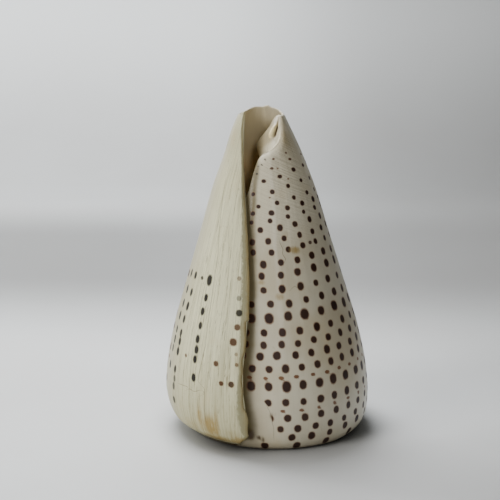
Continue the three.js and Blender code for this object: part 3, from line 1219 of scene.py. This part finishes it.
class Board:
    """A material's node tree, with short ways to add nodes to it."""

    def __init__(self, name: str) -> None:
        """Makes a material with one Principled shader."""
        self.material = bpy.data.materials.new(name)
        self.material.use_nodes = True
        self.tree = self.material.node_tree
        self.shader = self.tree.nodes["Principled BSDF"]

    def add(self, kind: str, settings: dict, inputs: dict, output: int | str = 0) -> Signal:
        """Adds one node.

        Args:
            kind: the node's type.
            settings: its own settings, set before its sockets.
            inputs: the values or links of its sockets, by number or name.
            output: which output is wanted.

        Returns:
            That output.
        """
        node = self.tree.nodes.new(kind)
        for key, value in settings.items():
            setattr(node, key, value)
        for key, value in inputs.items():
            self.feed(node.inputs[key], value)
        return Signal(self, node.outputs[output])

    def feed(self, socket: bpy.types.NodeSocket, value: "Signal | float | tuple") -> None:
        """Links a signal to a socket, or sets the socket's value.

        Args:
            socket: the socket.
            value: the signal, or a plain value; a colour is given without its alpha.
        """
        if isinstance(value, Signal):
            self.tree.links.new(value.socket, socket)
        elif isinstance(value, tuple) and socket.type == "RGBA":
            socket.default_value = (*value, 1.0)
        else:
            socket.default_value = value

    def finish(self, **sockets: "Signal | float | Colour") -> bpy.types.Material:
        """Feeds the shader's sockets, each named with low lines for its spaces, and gives the material."""
        for name, value in sockets.items():
            self.feed(self.shader.inputs[name.replace("_", " ")], value)
        return self.material

    def attribute(self, name: str) -> Signal:
        """A value that the mesh holds at its points."""
        return self.add("ShaderNodeAttribute", {"attribute_name": name}, {}, "Fac")

    def blend(self, factor: "Signal | float", first: "Signal | Colour", second: "Signal | Colour") -> Signal:
        """Mixes two colours."""
        return self.add("ShaderNodeMix", {"data_type": "RGBA"}, {0: factor, 6: first, 7: second}, 2)

    def noise(self, place: Signal, scale: float, detail: float = 3.0, rough: float = 0.55) -> Signal:
        """Noise about 0.5."""
        sockets = {"Vector": place, "Scale": scale, "Detail": detail, "Roughness": rough}
        return self.add("ShaderNodeTexNoise", {}, sockets, "Fac")

    def vector(self, x: "Signal | float", y: "Signal | float", z: "Signal | float") -> Signal:
        """A vector from three numbers."""
        return self.add("ShaderNodeCombineXYZ", {}, {0: x, 1: y, 2: z})

    def object_place(self) -> Signal:
        """The point's own place on the object, in metres."""
        return self.add("ShaderNodeTexCoord", {}, {}, "Object")


class WallReading:
    """What the shell's finish reads: values that the wall holds at its points, and noise over the wall."""

    LINES = (430.0, 0.05)
    BANDS = (110.0, 0.02)
    APART = 3.0
    GRAIN = 900.0
    PATCH = 480.0

    def __init__(self, board: Board) -> None:
        """Adds the nodes that are read, with noise drawn out along the growth lines."""
        self.place = board.object_place()
        self.turn = board.attribute("turn")
        self.level = board.attribute("level")
        self.inner = board.attribute("inner")
        self.worn = board.attribute("worn")
        per_turn, per_millimetre = self.LINES
        along = board.vector(self.turn * per_turn, self.level * per_millimetre, 0.0)
        self.lines = board.noise(along, 1.0, 5.0, 0.72)
        per_turn, per_millimetre = self.BANDS
        along = board.vector(self.turn * per_turn, self.level * per_millimetre, self.APART)
        self.bands = board.noise(along, 1.0, 4.0, 0.62)
        self.grain = board.noise(self.place, self.GRAIN, 3.0)
        self.patchy = board.noise(self.place, self.PATCH, 4.0, 0.65)


@dataclass(frozen=True)
class ShellFinish:
    """Cream glazed shell with dark spots, worn chalky near the lip and brown inside, with painted shade and
    light: the lip's shadow, shade on the left side, the top right and the pillar, a highlight on the pillar's
    fold and a fill light low inside.

    Levels are millimetres above the table, turns are counted back from the lip, and a spot's distances
    are in its own half sizes.
    """

    cream: Colour = (0.53, 0.465, 0.325)
    white: Colour = (0.62, 0.575, 0.44)
    chalk: Colour = (0.76, 0.74, 0.49)
    olive: Colour = (0.33, 0.30, 0.17)
    cream_band: Colour = (0.60, 0.45, 0.22)
    bone: Colour = (0.76, 0.70, 0.53)
    # Brown of stains, of the chipped edge and the foot, and of the painted shade on the top right.
    stain: Colour = (0.33, 0.235, 0.085)
    # Dark brown of dirt marks, hairlines and worn growth lines, and of the painted shade on the pillar.
    dirt: Colour = (0.075, 0.043, 0.014)
    # Colour of the painted shadow of the lip on the wall beside it, partly brown dirt.
    shade: Colour = (0.17, 0.135, 0.06)
    dark: Colour = (0.022, 0.0052, 0.0012)
    halo: Colour = (0.15, 0.045, 0.018)
    orange: Colour = (0.14, 0.046, 0.010)
    slate: Colour = (0.018, 0.015, 0.012)
    porcelain: Colour = (0.60, 0.535, 0.385)
    depths: Colour = (0.66, 0.56, 0.35)
    # Bright amber lower inside, partly painted fill light in the deep cavity.
    amber: Colour = (0.95, 0.70, 0.34)
    # Tan behind the ridge, on the pillar and the opening, darker in part as painted shade.
    tan: Colour = (0.52, 0.45, 0.29)
    # Cream of the pillar's fold, bright in part as a painted highlight.
    fold: Colour = (1.0, 0.84, 0.46)
    cloud_scale: float = 42.0
    bloom_scale: float = 110.0
    inner_scale: float = 130.0
    ragged_scale: float = 620.0
    bone_levels: Band = (66.0, 88.0, 96.0, 106.0)
    bone_share: float = 0.45
    chalk_share: float = 0.9
    shade_share: float = 0.95
    foot_levels: Span = (30.0, 2.0)
    low_levels: Span = (40.0, 2.0)
    high_levels: Span = (66.0, 112.0)
    low_olive: float = 0.56
    high_olive: float = 0.36
    # Painted shade on the left side of the shell, in olive: where it lies, and how strong it is.
    left_turns: Band = (0.10, 0.19, 0.24, 0.34)
    left_olive: float = 0.6
    spot_ragged: float = 0.34
    halo_reach: Span = (1.26, 0.94)
    core_reach: Span = (1.02, 0.8)
    gloss_reach: Span = (1.2, 0.9)
    deep_levels: Span = (112.0, 92.0)
    # Where the amber, partly painted fill light, starts and is full.
    amber_levels: Span = (106.0, 90.0)
    behind_turns: Span = (0.62, 0.28)
    glaze: float = 0.5
    glaze_roughness: float = 0.27
    glaze_ior: float = 1.38
    roughness: float = 0.42
    thread_levels: Span = (64.0, 88.0)
    thread_slant: float = 42.0
    thread_rate: float = 0.12
    bump_strength: float = 0.45
    bump_depth: float = 0.0005

    def material(self) -> bpy.types.Material:
        """Builds the material.

        Returns:
            The material, which reads the wall's point values.
        """
        board = Board("spotted_shell")
        read = WallReading(board)
        cloud = board.noise(read.place, self.cloud_scale, 4.0)
        ground = board.blend(cloud.step(0.35, 0.68), self.cream, self.white)
        ground = board.blend(read.level.band(*self.bone_levels) * self.bone_share, ground, self.bone)
        ground = board.blend(read.worn * self.chalk_share, ground, self.chalk)
        ground = self.aged_and_shaded(board, read, ground)
        ground = board.blend(board.attribute("pale") * self.chalk_share, ground, self.bone)
        # Painted shadow of the lip on the wall beside it, partly brown dirt.
        under = board.attribute("under").step(0.0, 1.0) * self.shade_share
        ground = board.blend(under, ground, self.shade)
        painted = self.soiled(board, read, self.spotted(board, read, ground))
        colour = board.blend(read.inner.step(0.1, 0.6), painted, self.inside(board, read))
        dark = board.attribute("spot").step(*self.gloss_reach) * board.attribute("strength")
        rough = self.roughness + read.worn * 0.4 + dark * 0.1 - read.inner * 0.08
        rough = rough + (read.grain - 0.5) * 0.12 + (read.lines - 0.5) * 0.12
        glaze = self.glaze * (1.0 - read.worn) * (1.0 - dark * 0.9) * (1.0 - read.inner * 0.85)
        return board.finish(
            Base_Color=colour, Roughness=rough, Coat_Weight=glaze, Coat_Roughness=self.glaze_roughness,
            IOR=self.glaze_ior, Normal=self.relief(board, read),
        )

    def aged_and_shaded(self, board: Board, read: WallReading, ground: Signal) -> Signal:
        """Growth lines, a chipped lip, olive towards the lip's foot and top, a painted shade on the left side
        and a yellow-brown bloom over the ground colour.

        Args:
            board: the material being built.
            read: the wall's values and noise.
            ground: the colour so far.

        Returns:
            The aged and shaded colour.
        """
        worn, lines, level = read.worn, read.lines, read.level
        ground = board.blend(lines.step(0.5, 0.64) * (0.07 + worn * 0.5), ground, self.olive)
        ground = board.blend(read.bands.step(0.48, 0.7) * worn * 0.42, ground, self.olive)
        groove = (read.bands - 0.52).math("ABSOLUTE").step(0.012, 0.002) * lines.step(0.4, 0.56) * worn * 0.7
        ground = board.blend(groove, ground, self.dirt)
        chip = board.attribute("edge") + (board.noise(read.place, self.ragged_scale, 4.0, 0.7) - 0.5) * 0.7
        ground = board.blend(chip.step(0.05, 0.3) * 0.8, ground, self.olive)
        ground = board.blend(chip.step(0.4, 1.0) * 0.75, ground, self.stain)
        foot = level.step(*self.foot_levels) * worn * lines.step(0.42, 0.7) * 0.3
        ground = board.blend(foot, ground, self.stain)
        # Olive, darker towards the lip's foot and its top.
        ends = level.step(*self.low_levels) * self.low_olive + level.step(*self.high_levels) * self.high_olive
        ground = board.blend(ends * worn, ground, self.olive)
        # Painted shade on the left side of the shell.
        ground = board.blend(read.turn.band(*self.left_turns) * self.left_olive, ground, self.olive)
        bloom = board.noise(read.place, self.bloom_scale, 3.0).step(0.56, 0.74) * 0.16
        return board.blend(bloom, ground, self.cream_band)

    def spotted(self, board: Board, read: WallReading, ground: Signal) -> Signal:
        """Spots over the ground colour, each with a red-brown rim.

        Args:
            board: the material being built.
            read: the wall's values and noise.
            ground: the colour so far.

        Returns:
            The spotted colour.
        """
        tone, strength = board.attribute("tone"), board.attribute("strength")
        ragged = board.noise(read.place, self.ragged_scale, 3.0, 0.6) - 0.5
        away = board.attribute("spot") + ragged * self.spot_ragged
        halo = away.step(*self.halo_reach) * strength
        core = away.step(*self.core_reach) * strength
        rim = board.blend(tone.step(0.0, -0.5), self.halo, self.slate)
        heart = board.blend(tone.step(0.12, 1.0), self.dark, self.orange)
        heart = board.blend(tone.step(-0.1, -0.7), heart, self.slate)
        painted = board.blend(halo * 0.78, ground, rim)
        return board.blend(core, painted, heart)

    def soiled(self, board: Board, read: WallReading, painted: Signal) -> Signal:
        """Stains, with the painted shade on the top right, dirt and hairlines over the painted colour.

        Args:
            board: the material being built.
            read: the wall's values and noise.
            painted: the colour so far.

        Returns:
            The soiled colour.
        """
        patchy = read.patchy
        # Stains, with the painted shade on the top right.
        stain = board.attribute("stain") * (0.25 + patchy * 0.9 + read.lines.step(0.35, 0.62) * 0.4)
        painted = board.blend(stain.step(0.06, 0.95), painted, self.stain)
        marks = board.attribute("dirt")
        dirt = (marks + (patchy - 0.5) * 0.5 * marks).step(0.04, 0.9)
        painted = board.blend(dirt * 0.96, painted, self.dirt)
        hair = board.attribute("hair") + (patchy - 0.5) * 0.5
        thin = hair.math("ABSOLUTE").step(0.2, 0.04) * board.attribute("hair_on")
        return board.blend(thin * 0.75, painted, self.dirt)

    def inside(self, board: Board, read: WallReading) -> Signal:
        """Colour of the inner faces: brown deep down and behind the lip, a bright amber lower down that is
        partly painted fill light, tan behind the ridge that is partly painted shade, pale towards the pillar,
        and painted shade on the pillar.

        Args:
            board: the material being built.
            read: the wall's values and noise.

        Returns:
            The colour.
        """
        cloud = board.noise(read.place, self.inner_scale, 3.0) - 0.5
        deep = (read.level + cloud * 8.0).step(*self.deep_levels)
        behind = (read.turn + cloud * 0.1).step(*self.behind_turns)
        brown = 1.0 - (1.0 - deep) * (1.0 - behind * 0.75)
        colour = board.blend(brown, self.porcelain, self.depths)
        # Bright amber lower inside, partly painted fill light.
        colour = board.blend(read.level.step(*self.amber_levels) * 0.8, colour, self.amber)
        # Tan behind the ridge, partly painted shade; pale bone; the fold's cream, partly a painted highlight.
        for name, over in (("tan", self.tan), ("pale", self.bone), ("fold_cream_and_highlight", self.fold)):
            colour = board.blend(board.attribute(name), colour, over)
        # Painted shade on the pillar's groove, tip and left side.
        return board.blend(board.attribute("dirt").step(0.1, 0.9), colour, self.dirt)

    def relief(self, board: Board, read: WallReading) -> Signal:
        """Growth lines, spiral threads and grain as a normal.

        Args:
            board: the material being built.
            read: the wall's values and noise.

        Returns:
            The normal.
        """
        worn = read.worn
        across = (read.level - read.turn * self.thread_slant) * self.thread_rate
        threads = board.noise(board.vector(0.0, 0.0, across), 9.0, 3.0)
        height = read.lines * (0.25 + worn * 1.0) + read.bands * worn * 0.8 + read.grain * 0.16
        threads = threads * 2.0 * read.level.step(*self.thread_levels) * (1.0 - worn)
        height = (height + threads) * (1.0 - read.inner * 0.8)
        sockets = {"Strength": self.bump_strength, "Distance": self.bump_depth, "Height": height}
        return board.add("ShaderNodeBump", {}, sockets, "Normal")


@dataclass(frozen=True)
class PaintedBoard:
    """Matt painted table and wall, with painted shade far back, to the right and at the bend, painted light
    high up on the wall, and a painted contact shadow under the shell. In metres.
    """

    tint: Colour = (0.70, 0.72, 0.725)
    mottle: Colour = (0.66, 0.67, 0.67)
    # Painted shade, painted light on the wall high up, and the painted contact shadow.
    dusk: Colour = (0.13, 0.128, 0.124)
    bright: Colour = (0.88, 0.91, 0.92)
    contact: Colour = (0.03, 0.028, 0.024)
    contact_reach: float = 0.014
    contact_side: Span = (-0.035, -0.008)
    roughness: float = 0.7
    mottle_scale: float = 9.0
    bright_heights: Span = (0.0, 0.15)
    far_depths: Span = (0.08, 0.24)
    bend_depths: Span = (0.46, 0.34)
    foot_heights: Span = (0.14, 0.0)
    behind_shell: Span = (-0.10, 0.10)
    near_depths: Span = (0.02, -0.12)
    high_heights: Span = (0.0, 0.13)
    wide_side: Span = (-0.06, 0.42)
    narrow_side: Span = (-0.07, 0.10)

    def material(self) -> bpy.types.Material:
        """Builds the material.

        Returns:
            The material, with painted shade that makes it paler on the left than on the right.
        """
        board = Board("pale_table")
        place = board.object_place()
        speckle = board.noise(place, self.mottle_scale, 4.0).step(0.3, 0.7)
        ground = board.blend(speckle, self.tint, self.mottle)
        across, depth, upright = (
            board.add("ShaderNodeSeparateXYZ", {}, {0: place}, axis) for axis in range(3)
        )
        # Painted light: the wall brighter high up.
        colour = board.blend(upright.step(*self.bright_heights), ground, self.bright)
        # Painted shade far back at the bend, and to the right.
        far = depth.step(*self.far_depths)
        shade = far * (0.37 + 0.42 * depth.step(*self.bend_depths)) * upright.step(*self.foot_heights)
        colour = board.blend(shade * (1.0 - 0.3 * across.step(*self.behind_shell)), colour, self.dusk)
        near = depth.step(*self.near_depths)
        high = 1.0 - 0.4 * upright.step(*self.high_heights)
        side = across.step(*self.wide_side) * (1.0 - 0.6 * far)
        side = side + across.step(*self.narrow_side) * (0.08 + 0.48 * far * high + 0.32 * near)
        colour = board.blend(side, colour, self.dusk)
        # Painted contact shadow around the shell's foot, stronger on its right.
        sockets = {"Distance": self.contact_reach}
        open_air = board.add("ShaderNodeAmbientOcclusion", {"samples": 8}, sockets, "AO")
        contact = (1.0 - open_air).step(0.0, 0.9) * (0.5 + 0.47 * across.step(*self.contact_side))
        colour = board.blend(contact, colour, self.contact)
        return board.finish(Base_Color=colour, Roughness=self.roughness)


@dataclass(frozen=True)
class Lamp:
    """One soft area light: place and size in metres, power in watts, colour, and the place it faces."""

    name: str
    place: Place
    size: Span
    power: float
    colour: Colour
    target: Place = (0.0, 0.0, 0.06)

    def build(self) -> None:
        """Adds the light to the scene."""
        data = bpy.data.lights.new(self.name, "AREA")
        data.shape = "RECTANGLE"
        data.size, data.size_y = self.size
        data.energy = self.power
        data.color = self.colour
        made = bpy.data.objects.new(self.name, data)
        made.location = self.place
        made.rotation_euler = (Vector(self.target) - Vector(self.place)).to_track_quat("-Z", "Y").to_euler()
        bpy.context.scene.collection.objects.link(made)


@dataclass(frozen=True)
class Studio:
    """The table, the wall behind it, the lights and the camera. Millimetres, except for the lamps."""

    focal_pixels: float = 1400.0
    image_pixels: float = 500.0
    sensor: float = 36.0
    camera_place: Place = (1.4, -494.6, 170.0)
    pitch: float = 12.0
    yaw: float = 0.9
    table_depth: float = 520.0
    half_width: float = 1800.0
    front: float = -1200.0
    bend: float = 160.0
    bend_points: int = 24
    wall_height: float = 1500.0
    lamps: tuple[Lamp, ...] = (
        Lamp("window", (-0.77, -0.57, 0.57), (0.5, 0.6), 9.0, (1.0, 0.985, 0.95)),
        Lamp("ceiling", (-0.17, 0.34, 0.74), (0.45, 0.35), 9.8, (0.98, 0.99, 1.0)),
        Lamp("far_window", (0.24, -1.05, 0.50), (0.2, 0.4), 2.4, (1.0, 0.99, 0.97)),
        Lamp("wall_wash", (-0.50, 0.36, 0.45), (0.3, 0.4), 2.0, (0.97, 0.985, 1.0), (-0.15, 0.7, 0.25)),
    )
    room: Colour = (0.86, 0.9, 0.93)
    room_strength: float = 0.03

    def build(self) -> bpy.types.Object:
        """Makes the whole setting.

        Returns:
            The table and wall in one piece.
        """
        stage = self.sweep()
        for lamp in self.lamps:
            lamp.build()
        self.world()
        self.camera()
        return stage

    def sweep(self) -> bpy.types.Object:
        """Makes the table that bends up into the wall.

        Returns:
            The table and wall in one piece.
        """
        bend = [(self.table_depth + self.bend * np.sin(a), self.bend * (1 - np.cos(a)))
                for a in np.linspace(0.0, np.pi / 2, self.bend_points)]
        outline = [(self.front, 0.0), *bend, (self.table_depth + self.bend, self.wall_height)]
        points = np.array([[(x, y, z) for y, z in outline] for x in (-self.half_width, self.half_width)])
        mesh = bpy.data.meshes.new("table_and_wall")
        faces = grid_faces(2, len(outline), False, True)
        mesh.from_pydata((points.reshape(-1, 3) * MM).tolist(), [], faces.tolist())
        mesh.polygons.foreach_set("use_smooth", [True] * len(mesh.polygons))
        made = bpy.data.objects.new("table_and_wall", mesh)
        made.data.materials.append(PaintedBoard().material())
        bpy.context.scene.collection.objects.link(made)
        return made

    def world(self) -> None:
        """Gives the room its own pale light."""
        world = bpy.data.worlds.new("room")
        bpy.context.scene.world = world
        world.use_nodes = True
        background = world.node_tree.nodes["Background"]
        background.inputs["Color"].default_value = (*self.room, 1.0)
        background.inputs["Strength"].default_value = self.room_strength

    def camera(self) -> None:
        """Adds the camera at the photograph's own angle."""
        data = bpy.data.cameras.new("camera")
        data.sensor_width = self.sensor
        data.lens = self.focal_pixels / self.image_pixels * self.sensor
        data.clip_start = 0.01
        made = bpy.data.objects.new("camera", data)
        made.location = Vector(self.camera_place) * MM
        made.rotation_euler = Euler(np.radians((90.0 - self.pitch, 0.0, self.yaw)))
        bpy.context.scene.collection.objects.link(made)
        bpy.context.scene.camera = made


@dataclass
class ConeShell:
    """The whole shell, made from its wall, its pillar and its spire."""

    coil: Coil = Coil()
    spots: SpotPattern = SpotPattern()
    wear_and_shade: WearAndShade = WearAndShade()
    finish: ShellFinish = ShellFinish()
    node: str = "shell"
    slot: str = "spotted_shell"

    def build(self) -> bpy.types.Object:
        """Makes the shell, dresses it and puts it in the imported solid's place.

        Returns:
            The shell's piece.
        """
        surface = Surface()
        WhorlWall(self.coil, self.spots, self.wear_and_shade).build(surface)
        Columella(self.coil).build(surface)
        Spire(self.coil).build(surface)
        piece = surface.build("glazed_shell")
        piece.data.materials.append(self.finish.material())
        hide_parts(self.node)
        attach(piece, "root")
        return piece


def report(piece: bpy.types.Object) -> None:
    """Logs a piece's name and size."""
    corners = np.array([piece.matrix_world @ Vector(corner) for corner in piece.bound_box]) / MM
    size = corners.max(0) - corners.min(0)
    log.info("%s: %d faces, %.1f x %.1f x %.1f mm", piece.name, len(piece.data.polygons), *size)


def main() -> None:
    """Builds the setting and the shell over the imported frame."""
    logging.basicConfig(level=logging.INFO, format="%(message)s")
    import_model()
    stage = Studio().build()
    report(stage)
    shell = ConeShell().build()
    report(shell)


if __name__ == "__main__":
    main()
